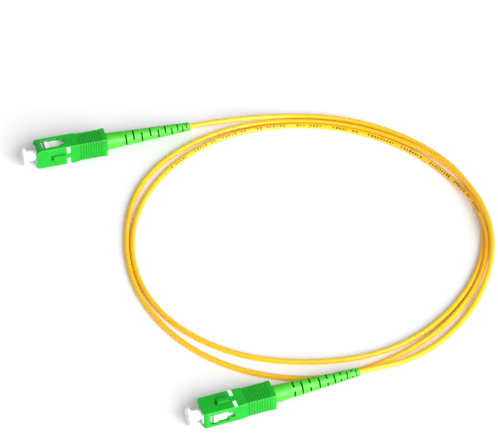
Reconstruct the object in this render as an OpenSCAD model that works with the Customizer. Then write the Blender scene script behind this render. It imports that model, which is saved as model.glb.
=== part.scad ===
// Fibre optic patch cord, SC/APC to SC/APC, 2 mm simplex cable.
// Millimetres, +Z up. Origin on the table, at the middle of the two connectors' outline.
// Each connector is drawn along +X: the grip's front face is at x = 0, the cable
// leaves towards +X, the key is on the +Z side and the latch windows on the Y sides.

/* [Grip] */
// Width of the grip, across the latch windows
grip_w = 9.0; // [8.8:0.1:9.2]
// Height of the grip, key not counted
grip_h = 7.4; // [7.2:0.1:7.5]
// Length of the grip
grip_l = 27.6; // [27.0:0.1:28.0]
// Height of the key above the grip
key_h = 0.8; // [0.5:0.1:1.0]
// Width of the key
key_w = 2.1; // [1.8:0.1:2.6]
// Number of grip grooves
groove_n = 9; // [4:1:9]
// Depth of a grip groove
groove_depth = 0.16; // [0.1:0.02:0.3]
// How far the grip slides back to unlatch
grip_travel = 1.3; // [1.0:0.1:1.3]

/* [Ferrule] */
// Diameter of the ferrule
ferrule_d = 2.5; // [2.49:0.01:2.5]
// Angle of the polished end face, degrees
polish_angle = 8; // [0:1:9]
// How far the ferrule stands out ahead of the grip
ferrule_out = 3.9; // [3.5:0.1:4.0]
// Outer diameter of the glass fibre
fibre_d = 0.125; // [0.12:0.005:0.13]

/* [Dust cap] */
// Diameter of the cap's flange
cap_flange_d = 7.2; // [6.0:0.1:7.2]
// Thickness of the cap's flange
cap_flange_t = 1.4; // [1.0:0.1:1.6]

/* [Spring] */
// Diameter of the spring wire
wire_d = 0.35; // [0.25:0.01:0.4]
// Number of active turns
spring_turns = 8; // [6:1:9]

/* [Boot] */
// Diameter of the boot where it leaves the grip
boot_root_d = 6.6; // [6.2:0.1:6.6]
// Diameter of the boot at its tip
boot_tip_d = 3.2; // [3.0:0.1:3.6]
// Distance from the grip's front face to the boot's tip
boot_end = 61.0; // [60.8:0.1:63]
// Width of a flex slot
slot_w = 0.6; // [0.3:0.05:0.7]
// Width of the webs left between the slots
web_w = 1.5; // [1.2:0.1:1.8]

/* [Cable] */
// Outer diameter of the cable
cable_d = 2.0; // [1.9:0.05:2.0]
// Diameter of the tight buffer
buffer_d = 0.9; // [0.8:0.05:0.9]

/* [Hidden] */

// Where each connector lies: front face centre, heading, and roll about its own axis
pos_a = [-57.8, 60.1, grip_w / 2];
yaw_a = 15;
roll_a = 90;
pos_b = [6.5, -73.0, grip_h / 2];
yaw_b = 19.7;
roll_b = 0;
// Roll of the boot's slots about the connector's own axis
slot_roll_a = 0;
slot_roll_b = 135;

// Grip: cavity for the plug frame, then a round bore for the crimp and the boot's neck
wall = 0.9;
cav_w = grip_w - 2 * wall;
cav_h = grip_h - 2 * wall;
cav_end = 19.6;
bore_r = 2.95;
bore_end = 25.4;
rear_r = boot_root_d / 2 + 0.1;
// Narrow, ribbed rear part of the grip
step_x = 15.2;
rear_x = 16.5;
rib_x0 = 16.9;
rib_pitch = 1.0;
rib_w = 0.45;
lip_x = 26.0;
rear_w = grip_w - 0.5;
rear_h = grip_h - 0.3;

// Plug frame
frame_w = cav_w - 0.2;
frame_h = cav_h - 0.2;
frame_x0 = -0.15;
frame_x1 = 18.5;
chamber_r = 2.3;

ferrule_r = ferrule_d / 2;
fibre_r = fibre_d / 2;
cable_r = cable_d / 2;
buffer_r = buffer_d / 2;

// Flex slots along the boot, from its root to its tip
slots = [35.3, 38.4, 41.6, 45.1, 48.2, 51.0, 53.5, 55.9, 57.8, 59.4];
// Half width of the cone at x
boot_x0 = 27.3;
function boot_r(x) = boot_root_d / 2 + (boot_tip_d - boot_root_d) / 2 * (x - boot_x0) / (boot_end - boot_x0);

// ---- Cable route ---------------------------------------------------------
// The cable lies in a flat loop of almost two and a half turns round loop_c.
// turn_r is the loop's radius every 30 degrees, clockwise from straight ahead (+Y).
loop_c = [46.5, 15.5];
turn_r = [69.4, 68.9, 69.0, 65.5, 62.4, 61.4, 60.5, 62.9, 65.5, 66.3, 66.5, 66.1,
          64.4, 63.7, 64.9, 67.0, 64.9, 65.6, 68.7, 69.2, 68.45, 68.5, 71.0, 69.5,
          66.7, 66.1, 66.5, 68.6, 68.7, 70.1];
// Each hump where the cable climbs over its own turns: middle, half length, height
humps = [[441, 36, 2.35], [795, 54, 4.3]];
// The first and last stretches also slope down from the connectors
fall_a = [20, 0.2];
fall_b = [840, 1.1];
ring_step = 360 / 29;
ring_n = 70;

function spline(a, b, c, d, t) = b + 0.5 * t * (c - a + t * (2 * a - 5 * b + 4 * c - d + t * (3 * (b - c) + d - a)));
function at(i) = turn_r[min(max(i, 0), len(turn_r) - 1)];
function loop_r(p) = let (k = min(floor(p / 30), len(turn_r) - 2), t = p / 30 - k)
    spline(at(k - 1), at(k), at(k + 1), at(k + 2), t);
function hump(p, h) = abs(p - h[0]) < h[1] ? h[2] * pow(cos(90 * (p - h[0]) / h[1]), 2) : 0;
function loop_z(p) = 1.0 + hump(p, humps[0]) + hump(p, humps[1])
    + (p < fall_a[0] ? fall_a[1] * pow((fall_a[0] - p) / 20, 2) : 0)
    + (p > fall_b[0] ? fall_b[1] * pow((p - fall_b[0]) / 30, 2) : 0);
function loop_pt(p) = [loop_c[0] + loop_r(p) * sin(p), loop_c[1] + loop_r(p) * cos(p), loop_z(p)];

function unit(v) = v / norm(v);
function axis_pt(pos, yaw, x) = [pos[0] + x * cos(yaw), pos[1] + x * sin(yaw), pos[2]];
function bezier(a, b, c, d, t) = a * pow(1 - t, 3) + b * 3 * t * pow(1 - t, 2) + c * 3 * t * t * (1 - t) + d * pow(t, 3);

tip_a = axis_pt(pos_a, yaw_a, boot_end);
tip_b = axis_pt(pos_b, yaw_b, boot_end);
first = loop_pt(0);
last_p = ring_n * ring_step;
last = loop_pt(last_p);
first_dir = unit(loop_pt(2) - first);
last_dir = unit(last - loop_pt(last_p - 2));
lead_a = [for (t = [0, 0.25, 0.5, 0.75])
    bezier(tip_a, axis_pt(pos_a, yaw_a, boot_end + 16), first - 14 * first_dir, first, t)];
lead_b = [for (t = [0.5, 1])
    bezier(last, last + 6 * last_dir, axis_pt(pos_b, yaw_b, boot_end + 6), tip_b, t)];
loop = [for (i = [0 : ring_n]) loop_pt(i * ring_step)];
// The whole centreline, from x inside connector A to x inside connector B
function route(x) = concat([axis_pt(pos_a, yaw_a, x)], lead_a, loop, lead_b, [axis_pt(pos_b, yaw_b, x)]);

// A round tube of outer radius r and inner radius ri swept along pts; ri = 0 is solid
module sweep(pts, r, ri, sides) {
    n = len(pts);
    tan = [for (i = [0 : n - 1]) unit(pts[min(i + 1, n - 1)] - pts[max(i - 1, 0)])];
    side = [for (t = tan) unit(cross(t, [0, 0, 1]))];
    up = [for (i = [0 : n - 1]) cross(side[i], tan[i])];
    function ring(i, q) = [for (k = [0 : sides - 1]) let (a = 360 * (k + 0.5) / sides)
        pts[i] + q * cos(a) * side[i] + q * sin(a) * up[i]];
    outer = [for (i = [0 : n - 1]) each ring(i, r)];
    inner = ri > 0 ? [for (i = [0 : n - 1]) each ring(i, ri)] : [];
    m = n * sides;
    skin = [for (i = [0 : n - 2]) for (k = [0 : sides - 1]) let (j = (k + 1) % sides)
        each [[i * sides + k, i * sides + j, (i + 1) * sides + j],
              [i * sides + k, (i + 1) * sides + j, (i + 1) * sides + k]]];
    bore = ri > 0 ? [for (f = skin) [m + f[2], m + f[1], m + f[0]]] : [];
    e = (n - 1) * sides;
    ends = ri > 0
        ? [for (k = [0 : sides - 1]) let (j = (k + 1) % sides)
            each [[k, m + k, m + j], [k, m + j, j],
                  [e + j, m + e + j, m + e + k], [e + j, m + e + k, e + k]]]
        : [[for (k = [sides - 1 : -1 : 0]) k], [for (k = [0 : sides - 1]) e + k]];
    polyhedron(points = concat(outer, inner), faces = concat(skin, bore, ends), convexity = 12);
}

// ---- Shared shapes -------------------------------------------------------
module at_a() translate(pos_a) rotate([0, 0, yaw_a]) rotate([roll_a, 0, 0]) children();
module at_b() translate(pos_b) rotate([0, 0, yaw_b]) rotate([roll_b, 0, 0]) children();

// Round solid about X whose half section is a list of [x, radius] points
module turned(pts) rotate([0, 90, 0]) rotate_extrude($fn = 64)
    polygon([for (p = pts) [p[1], p[0]]]);

module rod(x0, x1, r, fn = 64) translate([x0, 0, 0]) rotate([0, 90, 0]) cylinder(h = x1 - x0, r = r, $fn = fn);

// Block along X, w wide and h high, with its long edges cut by c
module bar(x0, x1, w, h, c) translate([x0, 0, 0]) rotate([90, 0, 90]) linear_extrude(x1 - x0)
    polygon([[-w / 2 + c, -h / 2], [w / 2 - c, -h / 2], [w / 2, -h / 2 + c], [w / 2, h / 2 - c],
             [w / 2 - c, h / 2], [-w / 2 + c, h / 2], [-w / 2, h / 2 - c], [-w / 2, -h / 2 + c]]);

module block(x0, x1, y0, y1, z0, z1) translate([x0, y0, z0]) cube([x1 - x0, y1 - y0, z1 - z0]);

// ---- Grip ----------------------------------------------------------------
module grip_front() intersection() {
    bar(0, step_x, grip_w, grip_h, 0.3);
    translate([0, 0, -grip_h]) linear_extrude(2 * grip_h) union() {
        r = 1.7;
        translate([r, -grip_w / 2]) square([step_x - r, grip_w]);
        translate([0, -grip_w / 2 + r]) square([step_x, grip_w - 2 * r]);
        for (s = [-1, 1]) translate([r, s * (grip_w / 2 - r)]) circle(r = r, $fn = 48);
    }
}

module key() translate([0, key_w / 2, 0]) rotate([90, 0, 0]) linear_extrude(key_w)
    polygon([[6.1, grip_h / 2 - 0.4], [6.1, grip_h / 2 + 0.1], [6.5, grip_h / 2 + key_h],
             [10.8, grip_h / 2 + key_h], [11.0, grip_h / 2 + key_h - 0.2], [11.0, grip_h / 2 - 0.4]]);

module ribs() for (i = [0 : groove_n - 1]) {
    x = rib_x0 + i * rib_pitch;
    difference() {
        block(x, x + rib_w, -grip_w, grip_w, -grip_h, grip_h);
        bar(x - 1, x + 1, rear_w - 2 * groove_depth, rear_h - 2 * groove_depth, 0.4);
    }
}

module mark_shape(lift) for (s = [0, 1]) mirror([0, s, 0])
    block(11.65, 13.0, 1.3, grip_w / 2 - 0.3, grip_h / 2 - 0.2, grip_h / 2 + lift);

module grip() color([0.09, 0.66, 0.20]) difference() {
    union() {
        grip_front();
        key();
        bar(step_x - 0.1, rear_x, rear_w + 0.3, rear_h + 0.25, 0.4);
        bar(rear_x - 0.1, grip_l - 0.3, rear_w, rear_h, 0.4);
        bar(lip_x, grip_l, rear_w + 0.2, rear_h + 0.14, 0.4);
    }
    ribs();
    mark_shape(1);
    // Sloped pit in front of the key
    translate([0, key_w / 2, 0]) rotate([90, 0, 0]) linear_extrude(key_w)
        polygon([[5.0, grip_h / 2 + 1], [5.0, grip_h / 2 - 0.05], [6.1, grip_h / 2 - 0.5], [6.1, grip_h / 2 + 1]]);
    // Cavity for the plug frame, then the bores for the crimp and the boot
    block(-1, cav_end, -cav_w / 2, cav_w / 2, -cav_h / 2, cav_h / 2);
    rod(cav_end - 1, bore_end + 1, bore_r);
    rod(bore_end, grip_l + 1, rear_r);
    // Latch windows
    block(2.4, 9.4, -grip_w, grip_w, -2.3, 2.3);
    block(9.3, 11.7, -grip_w, grip_w, -1.4, 1.4);
}

module depth_marks() color([0.93, 0.98, 0.94]) mark_shape(0.03);

// ---- Plug frame ----------------------------------------------------------
module plug_frame() color([0.97, 0.98, 0.98]) difference() {
    union() {
        bar(frame_x0 + 0.3, frame_x1, frame_w, frame_h, 0.5);
        bar(frame_x0, frame_x0 + 0.4, frame_w - 0.5, frame_h - 0.5, 0.5);
        // Stops that stand in the grip's windows
        block(3.75, 5.2, -4.15, 4.15, -1.9, 1.9);
    }
    rod(frame_x0 - 1, 4.4, chamber_r);
    rod(4, 6, 1.45);
    rod(5.6, frame_x1 + 1, chamber_r);
    // Latch pockets before and behind the stops
    for (s = [0, 1]) mirror([0, s, 0]) {
        block(1.8, 3.75, 2.85, 5, -2.0, 2.0);
        block(6.0, 11.5, 2.85, 5, -2.0, 2.0);
    }
}

// ---- Ferrule body --------------------------------------------------------
module ferrule() color([0.98, 0.98, 0.96]) difference() {
    turned([[-ferrule_out, 0], [-ferrule_out, 0.85], [-ferrule_out + 0.6, ferrule_r], [6.6, ferrule_r], [6.6, 0]]);
    translate([-ferrule_out + 0.12, 0, 0]) rotate([0, -polish_angle, 0]) block(-3, 0, -3, 3, -3, 3);
    rod(-6, 8, 0.12);
}

module fibre_stub() color([0.85, 0.93, 1.0]) difference() {
    rod(-ferrule_out, 7.0, fibre_r, 8);
    translate([-ferrule_out + 0.12, 0, 0]) rotate([0, -polish_angle, 0]) block(-3, 0, -3, 3, -3, 3);
}

module ferrule_flange() color([0.80, 0.81, 0.82]) difference() {
    union() {
        rod(5.75, 7.6, 2.1);
        rod(7.5, 12.5, 0.9);
    }
    rod(5, 6.7, ferrule_r + 0.02);
    rod(6, 14, 0.5);
    // Keyways that hold the ferrule's angle
    for (a = [0, 90, 180, 270]) rotate([a, 0, 0]) block(5, 6.6, -0.25, 0.25, 1.75, 3);
}

// ---- Spring and crimp ----------------------------------------------------
module spring() color([0.75, 0.76, 0.78]) {
    steps = 12 * spring_turns;
    r = 1.55;
    x0 = 7.75 + wire_d / 2;
    x1 = 14.4 - wire_d / 2;
    pts = [for (i = [0 : steps]) let (a = 30 * i) [x0 + (x1 - x0) * i / steps, r * cos(a), r * sin(a)]];
    coil(pts, wire_d / 2);
}

module coil(pts, r) {
    n = len(pts);
    s = 6;
    rings = [for (i = [0 : n - 1]) let (c = unit([0, pts[i][1], pts[i][2]]))
        each [for (k = [0 : s - 1]) pts[i] + r * cos(360 * k / s) * c + [r * sin(360 * k / s), 0, 0]]];
    polyhedron(points = rings, faces = concat(
        [[for (k = [0 : s - 1]) k]],
        [for (i = [0 : n - 2]) for (k = [0 : s - 1]) let (j = (k + 1) % s)
            each [[i * s + k, (i + 1) * s + k, (i + 1) * s + j], [i * s + k, (i + 1) * s + j, i * s + j]]],
        [[for (k = [s - 1 : -1 : 0]) (n - 1) * s + k]]), convexity = 10);
}

module stop_ring() color([0.82, 0.83, 0.84]) turned([
    [14.5, 0.7], [14.5, 2.1], [14.65, 2.25], [18.55, 2.25], [18.55, 2.7], [19.4, 2.7],
    [19.4, 1.9], [21.0, 1.9], [21.1, 1.8], [22.0, 1.8], [22.1, 1.9], [26.0, 1.9], [26.0, 0.7]]);

module guide_tube() color([0.95, 0.95, 0.90]) turned([[13.8, 0.5], [13.8, 0.65], [25.9, 0.65], [25.9, 0.5]]);

module yarn_collar() color([0.93, 0.80, 0.30]) turned([[19.8, 1.93], [19.8, 2.08], [25.8, 2.08], [25.8, 1.93]]);

module crimp_sleeve() color([0.78, 0.79, 0.80]) turned([
    [19.8, 2.11], [19.8, 2.45], [26.6, 2.45], [27.4, 1.5], [32.0, 1.5],
    [32.0, cable_r + 0.05], [27.0, cable_r + 0.05], [26.3, 2.11]]);

// ---- Boot ----------------------------------------------------------------
module boot(slot_roll) color([0.35, 0.85, 0.28]) difference() {
    turned([[22.6, 2.5], [22.6, 2.75], [22.7, 2.85], [boot_x0, 2.85], [boot_x0, boot_r(boot_x0)],
            [boot_end - 0.3, boot_r(boot_end - 0.3)], [boot_end, boot_r(boot_end) - 0.25],
            [boot_end, cable_r + 0.05], [32.6, cable_r + 0.05], [32.2, 1.6], [28.0, 1.6], [27.2, 2.5]]);
    // The slots stop short of the cable, leaving a thin core
    difference() {
        for (i = [0 : len(slots) - 1]) rotate([slot_roll + 90 * (i % 2), 0, 0])
            for (s = [0, 1]) mirror([0, 0, s])
                block(slots[i] - slot_w / 2, slots[i] + slot_w / 2, -4, 4, web_w / 2, 4);
        rod(34, 61, 1.3);
    }
}

// ---- Dust cap ------------------------------------------------------------
module dust_cap() color([0.97, 0.98, 0.99]) turned([
    [-5.0, 0], [-5.0, cap_flange_d / 2 - 0.4], [-4.7, cap_flange_d / 2], [-5.3 + cap_flange_t, cap_flange_d / 2],
    [-5.0 + cap_flange_t, cap_flange_d / 2 - 0.35], [-5.0 + cap_flange_t, 2.1],
    [1.3, 2.1], [1.5, 1.9], [1.5, ferrule_r + 0.03], [-4.1, ferrule_r + 0.03], [-4.1, 0]]);

// ---- Cable layers --------------------------------------------------------
module cable_jacket() color([1.0, 0.76, 0.10]) sweep(route(29.0), cable_r, cable_r - 0.14, 8);
module aramid_yarn() color([0.95, 0.86, 0.45]) sweep(route(27.6), cable_r - 0.16, buffer_r + 0.05, 8);
module tight_buffer() color([0.96, 0.96, 0.93]) sweep(route(9.0), buffer_r, fibre_r + 0.04, 8);
module glass_fibre() color([0.85, 0.93, 1.0]) sweep(route(8.2), fibre_r, 0, 6);

module dust_cap_a() at_a() dust_cap();
module ferrule_a() at_a() ferrule();
module ferrule_flange_a() at_a() ferrule_flange();
module fibre_stub_a() at_a() fibre_stub();
module spring_a() at_a() spring();
module plug_frame_a() at_a() plug_frame();
module stop_ring_a() at_a() stop_ring();
module guide_tube_a() at_a() guide_tube();
module yarn_collar_a() at_a() yarn_collar();
module crimp_sleeve_a() at_a() crimp_sleeve();
module grip_a() at_a() grip();
module depth_marks_a() at_a() depth_marks();
module boot_a() at_a() boot(slot_roll_a);
module dust_cap_b() at_b() dust_cap();
module ferrule_b() at_b() ferrule();
module ferrule_flange_b() at_b() ferrule_flange();
module fibre_stub_b() at_b() fibre_stub();
module spring_b() at_b() spring();
module plug_frame_b() at_b() plug_frame();
module stop_ring_b() at_b() stop_ring();
module guide_tube_b() at_b() guide_tube();
module yarn_collar_b() at_b() yarn_collar();
module crimp_sleeve_b() at_b() crimp_sleeve();
module grip_b() at_b() grip();
module depth_marks_b() at_b() depth_marks();
module boot_b() at_b() boot(slot_roll_b);

cable_jacket();
aramid_yarn();
tight_buffer();
glass_fibre();
dust_cap_a();
ferrule_a();
ferrule_flange_a();
fibre_stub_a();
spring_a();
plug_frame_a();
stop_ring_a();
guide_tube_a();
yarn_collar_a();
crimp_sleeve_a();
grip_a();
depth_marks_a();
boot_a();
dust_cap_b();
ferrule_b();
ferrule_flange_b();
fibre_stub_b();
spring_b();
plug_frame_b();
stop_ring_b();
guide_tube_b();
yarn_collar_b();
crimp_sleeve_b();
grip_b();
depth_marks_b();
boot_b();
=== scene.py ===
import math
import random

import bmesh
import bpy
from mathutils import Matrix, Vector


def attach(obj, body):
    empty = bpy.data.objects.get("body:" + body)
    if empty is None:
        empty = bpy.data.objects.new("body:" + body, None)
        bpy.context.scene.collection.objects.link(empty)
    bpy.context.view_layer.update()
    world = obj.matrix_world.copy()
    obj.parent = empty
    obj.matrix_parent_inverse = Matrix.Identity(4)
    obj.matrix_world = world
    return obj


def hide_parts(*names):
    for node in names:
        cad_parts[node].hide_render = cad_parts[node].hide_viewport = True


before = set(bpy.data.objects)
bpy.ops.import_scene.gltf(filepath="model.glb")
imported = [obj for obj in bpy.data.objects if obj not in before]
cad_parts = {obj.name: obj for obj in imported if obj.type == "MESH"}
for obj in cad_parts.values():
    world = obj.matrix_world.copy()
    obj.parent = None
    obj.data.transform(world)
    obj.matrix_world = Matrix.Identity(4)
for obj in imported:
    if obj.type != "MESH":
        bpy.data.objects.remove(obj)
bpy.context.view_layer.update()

MM = 0.001
scene = bpy.context.scene
random.seed(7)

# ---------------------------------------------------------------- connectors
# Front face centre, heading and roll of each connector, millimetres
POSE = {
    "a": dict(pos=(-57.8, 60.1, 4.5), yaw=15.0, roll=90.0, slots=0.0),
    "b": dict(pos=(6.5, -73.0, 3.7), yaw=19.7, roll=0.0, slots=135.0),
}
BOOT_END = 61.0


def connector_matrix(side):
    p = POSE[side]
    return (
        Matrix.Translation(Vector(p["pos"]))
        @ Matrix.Rotation(math.radians(p["yaw"]), 4, "Z")
        @ Matrix.Rotation(math.radians(p["roll"]), 4, "X")
    )


# ---------------------------------------------------------------- cable route
LOOP_C = (46.5, 15.5)
TURN_R = [
    69.4, 68.9, 69.0, 65.5, 62.4, 61.4, 60.5, 62.9, 65.5, 66.3, 66.5, 66.1,
    64.4, 63.7, 64.9, 67.0, 64.9, 65.6, 68.7, 69.2, 68.45, 68.5, 71.0, 69.5,
    66.7, 66.1, 66.5, 68.6, 68.7, 70.1,
]
HUMPS = [(441, 36, 2.35), (795, 54, 4.3)]
LAST_P = 70 * 360 / 29


def spline(a, b, c, d, t):
    return b + 0.5 * t * (c - a + t * (2 * a - 5 * b + 4 * c - d + t * (3 * (b - c) + d - a)))


def radius_at(i):
    return TURN_R[min(max(i, 0), len(TURN_R) - 1)]


def loop_point(p):
    k = min(int(math.floor(p / 30)), len(TURN_R) - 2)
    t = p / 30 - k
    r = spline(radius_at(k - 1), radius_at(k), radius_at(k + 1), radius_at(k + 2), t)
    z = 1.0
    for mid, half, high in HUMPS:
        if abs(p - mid) < half:
            z += high * math.cos(math.radians(90 * (p - mid) / half)) ** 2
    if p < 20:
        z += 0.2 * ((20 - p) / 20) ** 2
    if p > 840:
        z += 1.1 * ((p - 840) / 30) ** 2
    a = math.radians(p)
    return Vector((LOOP_C[0] + r * math.sin(a), LOOP_C[1] + r * math.cos(a), z))


def axis_point(side, x):
    p = POSE[side]
    a = math.radians(p["yaw"])
    return Vector((p["pos"][0] + x * math.cos(a), p["pos"][1] + x * math.sin(a), p["pos"][2]))


def bezier(a, b, c, d, t):
    return a * (1 - t) ** 3 + b * 3 * t * (1 - t) ** 2 + c * 3 * t * t * (1 - t) + d * t ** 3


def route(x0, step=1.25):
    """The centreline from x0 inside connector A to x0 inside connector B, millimetres."""
    first, last = loop_point(0), loop_point(LAST_P)
    first_dir = (loop_point(2) - first).normalized()
    last_dir = (last - loop_point(LAST_P - 2)).normalized()
    tip_a, tip_b = axis_point("a", BOOT_END), axis_point("b", BOOT_END)
    raw = []
    n = max(2, int((BOOT_END - x0) / 4))
    raw += [axis_point("a", x0 + (BOOT_END - x0) * i / n) for i in range(n)]
    raw += [
        bezier(tip_a, axis_point("a", BOOT_END + 16), first - 14 * first_dir, first, i / 24)
        for i in range(24)
    ]
    m = int(LAST_P / step)
    raw += [loop_point(LAST_P * i / m) for i in range(m)]
    raw += [
        bezier(last, last + 6 * last_dir, axis_point("b", BOOT_END + 6), tip_b, i / 14)
        for i in range(14)
    ]
    raw += [axis_point("b", BOOT_END - (BOOT_END - x0) * i / n) for i in range(n + 1)]
    return raw


def smoothed(pts, rounds):
    for _ in range(rounds):
        pts = (
            [pts[0], pts[1]]
            + [(pts[i - 1] + 2 * pts[i] + pts[i + 1]) / 4 for i in range(2, len(pts) - 2)]
            + [pts[-2], pts[-1]]
        )
    return pts


def path_length(pts):
    return sum((pts[i + 1] - pts[i]).length for i in range(len(pts) - 1))


# ---------------------------------------------------------------- mesh helpers
def mesh_object(name, bm, smooth_angle=35):
    me = bpy.data.meshes.new(name)
    bmesh.ops.recalc_face_normals(bm, faces=bm.faces[:])
    bm.to_mesh(me)
    bm.free()
    ob = bpy.data.objects.new(name, me)
    scene.collection.objects.link(ob)
    me.shade_smooth()
    if smooth_angle is not None:
        me.set_sharp_from_angle(angle=math.radians(smooth_angle))
    return ob


def tube(name, pts, radius, sides, inner=None, wobble=0.0):
    """A tube round pts (millimetres), with a UV map: u is the distance along in
    decimetres, v the turn round the tube, 0.25 at the top."""
    n = len(pts)
    bm = bmesh.new()
    rings = []
    dist = [0.0]
    for i in range(1, n):
        dist.append(dist[-1] + (pts[i] - pts[i - 1]).length)
    for i, p in enumerate(pts):
        t = (pts[min(i + 1, n - 1)] - pts[max(i - 1, 0)]).normalized()
        side = t.cross(Vector((0, 0, 1))).normalized()
        up = side.cross(t)
        grow = 1.0
        if wobble:
            s = dist[i]
            grow += wobble * (math.sin(s * 0.21 + 1.0) * 0.6 + math.sin(s * 0.057) * 0.4)
        ring = []
        for k in range(sides):
            a = 2 * math.pi * k / sides
            ring.append(bm.verts.new((p + (side * math.cos(a) + up * math.sin(a)) * radius * grow) * MM))
        rings.append(ring)
    uv = bm.loops.layers.uv.new("along")
    for i in range(n - 1):
        for k in range(sides):
            j = (k + 1) % sides
            f = bm.faces.new((rings[i][k], rings[i][j], rings[i + 1][j], rings[i + 1][k]))
            for loop, (u, v) in zip(
                f.loops,
                ((dist[i], k), (dist[i], k + 1), (dist[i + 1], k + 1), (dist[i + 1], k)),
            ):
                loop[uv].uv = (u * 0.01, v / sides)
    for ring in (rings[0], rings[-1]):
        bm.faces.new(ring)
    return mesh_object(name, bm, 60)


# ---------------------------------------------------------------- material helpers
def material(name):
    m = bpy.data.materials.new(name)
    m.use_nodes = True
    nt = m.node_tree
    bsdf = nt.nodes["Principled BSDF"]
    return m, nt, bsdf


def node(nt, kind, **sockets):
    n = nt.nodes.new(kind)
    for k, v in sockets.items():
        if k in n.inputs:
            n.inputs[k].default_value = v
        else:
            setattr(n, k, v)
    return n


def math_node(nt, op, a, b=None, c=None, clamp=False):
    n = nt.nodes.new("ShaderNodeMath")
    n.operation = op
    n.use_clamp = clamp
    for i, v in enumerate((a, b, c)):
        if v is None:
            continue
        if isinstance(v, (int, float)):
            n.inputs[i].default_value = v
        else:
            nt.links.new(v, n.inputs[i])
    return n.outputs[0]


def mix_color(nt, fac, a, b, blend="MIX"):
    n = nt.nodes.new("ShaderNodeMix")
    n.data_type = "RGBA"
    n.blend_type = blend
    for sock, v in ((n.inputs[0], fac), (n.inputs[6], a), (n.inputs[7], b)):
        if isinstance(v, (int, float)):
            sock.default_value = v
        elif isinstance(v, tuple):
            sock.default_value = v + (1.0,) if len(v) == 3 else v
        else:
            nt.links.new(v, sock)
    return n.outputs[2]


def noise(nt, vector, scale, detail=3.0, rough=0.5):
    n = nt.nodes.new("ShaderNodeTexNoise")
    n.inputs["Scale"].default_value = scale
    n.inputs["Detail"].default_value = detail
    n.inputs["Roughness"].default_value = rough
    nt.links.new(vector, n.inputs["Vector"])
    return n.outputs["Fac"]


def remap(nt, value, a, b, c, d):
    n = nt.nodes.new("ShaderNodeMapRange")
    nt.links.new(value, n.inputs["Value"])
    for k, v in zip(("From Min", "From Max", "To Min", "To Max"), (a, b, c, d)):
        n.inputs[k].default_value = v
    return n.outputs["Result"]


def add_bump(nt, bsdf, height, strength, distance, normal=None):
    b = nt.nodes.new("ShaderNodeBump")
    b.inputs["Strength"].default_value = strength
    b.inputs["Distance"].default_value = distance
    if normal is not None:
        nt.links.new(normal, b.inputs["Normal"])
    nt.links.new(height, b.inputs["Height"])
    nt.links.new(b.outputs["Normal"], bsdf.inputs["Normal"])


def moulded(name, base, shade, rough=(0.3, 0.42), grain=2600, bump=0.12, sss=0.0,
            sss_radius=(0.3, 0.6, 0.2), sss_scale=0.001, coat=0.0, ior=1.5, edge_wear_and_highlight=None, specular=0.5,
            painted_crevice_shade=None, crevice_shade_reach=0.0012, crevice_shade_from=0.35, edge=0.00016):
    """Moulded plastic: fine surface grain, slow colour drift, softened edges lightened partly by
    rubbing wear and partly as a painted highlight, and painted shade darkening the crevices."""
    m, nt, bsdf = material(name)
    tc = nt.nodes.new("ShaderNodeTexCoord").outputs["Object"]
    slow = noise(nt, tc, 90, 2)
    fine = noise(nt, tc, grain, 4, 0.6)
    flow = noise(nt, tc, 420, 3)
    fac = math_node(nt, "MULTIPLY_ADD", slow, 0.6, math_node(nt, "MULTIPLY", flow, 0.4))
    col = mix_color(nt, remap(nt, fac, 0.35, 0.65, 0, 1), base, shade)
    bev = nt.nodes.new("ShaderNodeBevel")
    bev.samples = 6
    bev.inputs["Radius"].default_value = edge
    # Edge mask from the bevel normal: lightens edges, partly as rubbed wear and partly as a painted edge highlight
    if edge_wear_and_highlight:
        geo = nt.nodes.new("ShaderNodeNewGeometry")
        dot = nt.nodes.new("ShaderNodeVectorMath")
        dot.operation = "DOT_PRODUCT"
        nt.links.new(geo.outputs["Normal"], dot.inputs[0])
        nt.links.new(bev.outputs["Normal"], dot.inputs[1])
        rub_and_highlight_mask = remap(nt, dot.outputs["Value"], 0.99, 0.86, 0, 1)
        rub_and_highlight_mask = math_node(nt, "MULTIPLY", rub_and_highlight_mask, remap(nt, flow, 0.4, 0.65, 0.25, 1.0), clamp=True)
        col = mix_color(nt, math_node(nt, "MULTIPLY", rub_and_highlight_mask, 0.45), col, edge_wear_and_highlight)
    # Painted shade: ambient occlusion darkens the colour in crevices, recesses and slots
    if painted_crevice_shade:
        ao = nt.nodes.new("ShaderNodeAmbientOcclusion")
        ao.samples = 8
        ao.inputs["Distance"].default_value = crevice_shade_reach
        fac = remap(nt, ao.outputs["AO"], crevice_shade_from, 0.95, 0, 1)
        col = mix_color(nt, math_node(nt, "MULTIPLY", fac, 1.0, clamp=True), painted_crevice_shade, col)
    nt.links.new(col, bsdf.inputs["Base Color"])
    nt.links.new(remap(nt, flow, 0.3, 0.7, rough[0], rough[1]), bsdf.inputs["Roughness"])
    bsdf.inputs["IOR"].default_value = ior
    bsdf.inputs["Specular IOR Level"].default_value = specular
    if sss:
        bsdf.inputs["Subsurface Weight"].default_value = sss
        bsdf.inputs["Subsurface Radius"].default_value = sss_radius
        bsdf.inputs["Subsurface Scale"].default_value = sss_scale
    if coat:
        bsdf.inputs["Coat Weight"].default_value = coat
        bsdf.inputs["Coat Roughness"].default_value = 0.12
    height = math_node(nt, "MULTIPLY_ADD", fine, 0.7, math_node(nt, "MULTIPLY", flow, 0.3))
    add_bump(nt, bsdf, height, bump, 0.00006, bev.outputs["Normal"])
    return m


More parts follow.
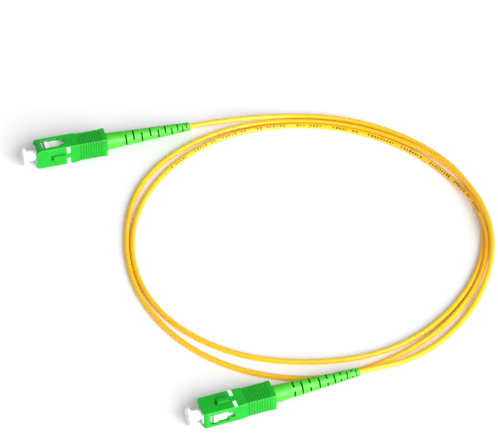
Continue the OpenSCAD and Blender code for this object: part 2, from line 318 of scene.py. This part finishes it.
def metal(name, base, rough=(0.22, 0.38), streak=(1, 1, 1), scale=900):
    m, nt, bsdf = material(name)
    tc = nt.nodes.new("ShaderNodeTexCoord").outputs["Object"]
    mp = nt.nodes.new("ShaderNodeMapping")
    mp.inputs["Scale"].default_value = streak
    nt.links.new(tc, mp.inputs["Vector"])
    lines = noise(nt, mp.outputs["Vector"], scale, 4, 0.6)
    patches = noise(nt, tc, 160, 2)
    col = mix_color(nt, remap(nt, patches, 0.35, 0.65, 0, 1), base, tuple(c * 0.82 for c in base))
    nt.links.new(col, bsdf.inputs["Base Color"])
    bsdf.inputs["Metallic"].default_value = 1.0
    nt.links.new(remap(nt, lines, 0.3, 0.7, rough[0], rough[1]), bsdf.inputs["Roughness"])
    add_bump(nt, bsdf, lines, 0.15, 0.00003)
    return m


# ---------------------------------------------------------------- materials
# The lighter edge colours below are partly rubbed wear and partly painted highlight; the dark crevice colours are
# painted shade in recesses and slots
GREEN = moulded("grip_green", (0.002, 0.345, 0.013), (0.005, 0.405, 0.020), rough=(0.32, 0.45), bump=0.10,
                sss=0.10, sss_radius=(0.15, 0.7, 0.2), sss_scale=0.0006, edge_wear_and_highlight=(0.03, 0.50, 0.07),
                painted_crevice_shade=(0.001, 0.16, 0.007), crevice_shade_reach=0.0007, crevice_shade_from=0.2, edge=0.00022, specular=0.3)
BOOT_GREEN = moulded("boot_green", (0.045, 0.48, 0.018), (0.066, 0.55, 0.028), rough=(0.40, 0.52), bump=0.10,
                     sss=0.25, sss_radius=(0.35, 0.9, 0.2), sss_scale=0.0008, grain=2200,
                     edge_wear_and_highlight=(0.13, 0.66, 0.07), painted_crevice_shade=(0.006, 0.15, 0.006), crevice_shade_reach=0.0014)
WHITE = moulded("frame_white", (0.72, 0.76, 0.74), (0.78, 0.81, 0.80), rough=(0.25, 0.36), bump=0.08,
                sss=0.2, sss_radius=(0.8, 0.8, 0.8), sss_scale=0.0006,
                painted_crevice_shade=(0.42, 0.56, 0.47), crevice_shade_reach=0.0013)
CAP = moulded("cap_white", (0.80, 0.82, 0.83), (0.86, 0.87, 0.88), rough=(0.18, 0.28), bump=0.06,
              sss=0.5, sss_radius=(0.9, 0.95, 1.0), sss_scale=0.0012)
MARK = moulded("mark_white", (0.58, 0.90, 0.68), (0.66, 0.94, 0.74), rough=(0.45, 0.6), bump=0.15)
ZIRCONIA = moulded("zirconia", (0.90, 0.90, 0.88), (0.93, 0.93, 0.91), rough=(0.05, 0.1), bump=0.01, sss=0.3,
                   sss_radius=(1, 1, 1), sss_scale=0.0004, ior=2.1)
BUFFER = moulded("buffer_white", (0.84, 0.84, 0.78), (0.88, 0.88, 0.84), rough=(0.35, 0.45), bump=0.06)
NICKEL = metal("nickel_plate", (0.74, 0.72, 0.68), streak=(1, 0.1, 0.1))
STEEL = metal("spring_steel", (0.60, 0.60, 0.62), rough=(0.18, 0.3))


def glass_material():
    m, nt, bsdf = material("silica_glass")
    tc = nt.nodes.new("ShaderNodeTexCoord").outputs["Object"]
    bsdf.inputs["Transmission Weight"].default_value = 0.9
    bsdf.inputs["IOR"].default_value = 1.46
    n = noise(nt, tc, 3000, 2)
    nt.links.new(remap(nt, n, 0.3, 0.7, 0.01, 0.05), bsdf.inputs["Roughness"])
    nt.links.new(mix_color(nt, n, (0.82, 0.92, 1.0), (0.9, 0.97, 1.0)), bsdf.inputs["Base Color"])
    return m


def aramid_material():
    m, nt, bsdf = material("aramid_fibre")
    uvn = nt.nodes.new("ShaderNodeTexCoord").outputs["Object"]
    w = noise(nt, uvn, 2200, 5, 0.7)
    nt.links.new(mix_color(nt, remap(nt, w, 0.35, 0.65, 0, 1), (0.80, 0.60, 0.12), (0.95, 0.82, 0.35)), bsdf.inputs["Base Color"])
    bsdf.inputs["Roughness"].default_value = 0.55
    bsdf.inputs["Sheen Weight"].default_value = 0.3
    add_bump(nt, bsdf, w, 0.4, 0.00008)
    return m


GLASS = glass_material()
ARAMID = aramid_material()


def jacket_material(print_from, print_to, total):
    """Yellow PVC jacket. A faint row of plain ink dashes runs along one stretch."""
    m, nt, bsdf = material("jacket_yellow")
    uv = nt.nodes.new("ShaderNodeUVMap")
    uv.uv_map = "along"
    sep = nt.nodes.new("ShaderNodeSeparateXYZ")
    nt.links.new(uv.outputs["UV"], sep.inputs[0])
    s = math_node(nt, "MULTIPLY", sep.outputs["X"], 100.0)  # millimetres along
    v = sep.outputs["Y"]
    tc = nt.nodes.new("ShaderNodeTexCoord").outputs["Object"]
    slow = noise(nt, tc, 26, 2)
    mid = noise(nt, tc, 300, 3)
    fine = noise(nt, tc, 3200, 4, 0.6)
    col = mix_color(nt, remap(nt, slow, 0.35, 0.65, 0, 1), (0.90, 0.52, 0.008), (0.91, 0.56, 0.010))
    col = mix_color(nt, remap(nt, mid, 0.3, 0.75, 0, 0.35), col, (0.90, 0.45, 0.007))
    # Ink: one small dash in each 1.3 mm cell, its length and presence set by a hash of the cell
    cell = math_node(nt, "FLOOR", math_node(nt, "DIVIDE", s, 1.3))
    frac = math_node(nt, "FRACT", math_node(nt, "DIVIDE", s, 1.3))
    wn = nt.nodes.new("ShaderNodeTexWhiteNoise")
    wn.noise_dimensions = "1D"
    nt.links.new(cell, wn.inputs["W"])
    present = math_node(nt, "GREATER_THAN", wn.outputs["Value"], 0.12)
    width = math_node(nt, "MULTIPLY_ADD", wn.outputs["Value"], 0.35, 0.40)
    stroke = math_node(nt, "LESS_THAN", frac, width)
    # words: gaps of a few cells every 14 mm or so
    word = math_node(nt, "FRACT", math_node(nt, "DIVIDE", s, 14.5))
    inword = math_node(nt, "LESS_THAN", word, 0.80)
    wn2 = nt.nodes.new("ShaderNodeTexWhiteNoise")
    wn2.noise_dimensions = "1D"
    nt.links.new(math_node(nt, "ADD", cell, 51.7), wn2.inputs["W"])
    v0 = math_node(nt, "MULTIPLY_ADD", wn2.outputs["Value"], 0.030, 0.050)
    v1 = math_node(nt, "MULTIPLY_ADD", wn2.outputs["Value"], -0.030, 0.215)
    band = math_node(nt, "MULTIPLY", math_node(nt, "GREATER_THAN", v, v0), math_node(nt, "LESS_THAN", v, v1))
    span = math_node(nt, "MULTIPLY", math_node(nt, "GREATER_THAN", s, print_from), math_node(nt, "LESS_THAN", s, print_to))
    ink = math_node(nt, "MULTIPLY", math_node(nt, "MULTIPLY", present, stroke), math_node(nt, "MULTIPLY", inword, band))
    ink = math_node(nt, "MULTIPLY", ink, span)
    ink = math_node(nt, "MULTIPLY", ink, remap(nt, fine, 0.3, 0.6, 0.62, 0.88), clamp=True)
    col = mix_color(nt, ink, col, (0.085, 0.042, 0.008))
    nt.links.new(col, bsdf.inputs["Base Color"])
    nt.links.new(remap(nt, mid, 0.3, 0.7, 0.30, 0.42), bsdf.inputs["Roughness"])
    bsdf.inputs["Subsurface Weight"].default_value = 0.75
    bsdf.inputs["Subsurface Radius"].default_value = (1.0, 0.5, 0.05)
    bsdf.inputs["Subsurface Scale"].default_value = 0.0013
    # Extrusion lines run along the cable: fine ripple round it, slow ripple along it
    comb = nt.nodes.new("ShaderNodeCombineXYZ")
    nt.links.new(math_node(nt, "MULTIPLY", s, 0.02), comb.inputs[0])
    nt.links.new(math_node(nt, "MULTIPLY", v, 9.0), comb.inputs[1])
    lines = noise(nt, comb.outputs[0], 4.0, 4, 0.6)
    h = math_node(nt, "MULTIPLY_ADD", lines, 0.6, math_node(nt, "MULTIPLY", fine, 0.4))
    add_bump(nt, bsdf, h, 0.10, 0.00008)
    return m


# ---------------------------------------------------------------- cable
line = smoothed(route(33.5), 3)
length = path_length(line)
jacket = tube("cable_jacket_skin", line, 1.0, 24, wobble=0.004)

# where along the cable the ink starts and ends: the second turn, over the top
marks = []
walk = 0.0
for i in range(1, len(line)):
    walk += (line[i] - line[i - 1]).length
    marks.append(walk)


def distance_at(p):
    target = loop_point(p)
    best = min(range(len(line)), key=lambda i: (line[i] - target).length)
    return marks[best - 1]


JACKET = jacket_material(distance_at(308), distance_at(437), length)
jacket.data.materials.append(JACKET)
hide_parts("cable_jacket")

yarn = tube("aramid_yarn_core", smoothed(route(27.6, 2.5), 1), 0.84, 12)
yarn.data.materials.append(ARAMID)
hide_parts("aramid_yarn")

buffer_tube = tube("tight_buffer_core", smoothed(route(9.0, 2.5), 1), 0.45, 12)
buffer_tube.data.materials.append(BUFFER)
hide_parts("tight_buffer")

fibre = tube("glass_fibre_core", smoothed(route(8.2, 2.5), 1), 0.0625, 8)
fibre.data.materials.append(GLASS)
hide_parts("glass_fibre")

for piece in (jacket, yarn, buffer_tube, fibre):
    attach(piece, "root")

# ---------------------------------------------------------------- CAD nodes' materials
LOOK = {
    "dust_cap": CAP, "ferrule": ZIRCONIA, "ferrule_flange": NICKEL, "fibre_stub": GLASS, "spring": STEEL,
    "plug_frame": WHITE, "stop_ring": NICKEL, "guide_tube": BUFFER, "yarn_collar": ARAMID,
    "crimp_sleeve": NICKEL, "grip": GREEN, "depth_marks": MARK, "boot": BOOT_GREEN,
}
for name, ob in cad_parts.items():
    base = name[:-2] if name[-2:] in ("_a", "_b") else name
    if base in LOOK:
        ob.data.materials.clear()
        ob.data.materials.append(LOOK[base])

# ---------------------------------------------------------------- floor, light, camera
bm = bmesh.new()
bmesh.ops.create_grid(bm, x_segments=8, y_segments=8, size=2.2)
floor = mesh_object("floor", bm, None)
floor.location = (0.0, 0.0, 0.0)
fm, nt, bsdf = material("floor_paper")
tc = nt.nodes.new("ShaderNodeTexCoord").outputs["Object"]
paper = noise(nt, tc, 40, 3)
nt.links.new(mix_color(nt, remap(nt, paper, 0.3, 0.7, 0, 1), (0.935, 0.935, 0.935), (0.95, 0.95, 0.95)), bsdf.inputs["Base Color"])
bsdf.inputs["Roughness"].default_value = 0.75
bsdf.inputs["Specular IOR Level"].default_value = 0.2
floor.data.materials.append(fm)

world = bpy.data.worlds.new("studio")
scene.world = world
world.use_nodes = True
bg = world.node_tree.nodes["Background"]
bg.inputs["Color"].default_value = (1.0, 1.0, 1.0, 1.0)
bg.inputs["Strength"].default_value = 0.46


def area(name, loc, target, size, energy, color=(1, 1, 1)):
    d = bpy.data.lights.new(name, "AREA")
    d.shape = "SQUARE"
    d.size = size
    d.energy = energy
    d.color = color
    ob = bpy.data.objects.new(name, d)
    ob.location = loc
    ob.rotation_euler = (Vector(target) - Vector(loc)).to_track_quat("-Z", "Y").to_euler()
    ob.visible_camera = False
    scene.collection.objects.link(ob)
    return ob


area("key", (2.05, -2.95, 1.80), (0.02, 0.0, 0.0), 3.6, 325.0)

cam_data = bpy.data.cameras.new("camera")
cam = bpy.data.objects.new("camera", cam_data)
scene.collection.objects.link(cam)
cam.location = (0.0240, -1.0336, 1.0607)
cam.rotation_euler = (math.radians(45), 0, 0)
cam_data.sensor_width = 36.0
cam_data.sensor_fit = "HORIZONTAL"
cam_data.lens = 36.0 * 3972.0 / 498.0
cam_data.clip_start = 0.05
cam_data.clip_end = 20.0
scene.camera = cam
scene.view_settings.view_transform = "Standard"
scene.view_settings.look = "None"
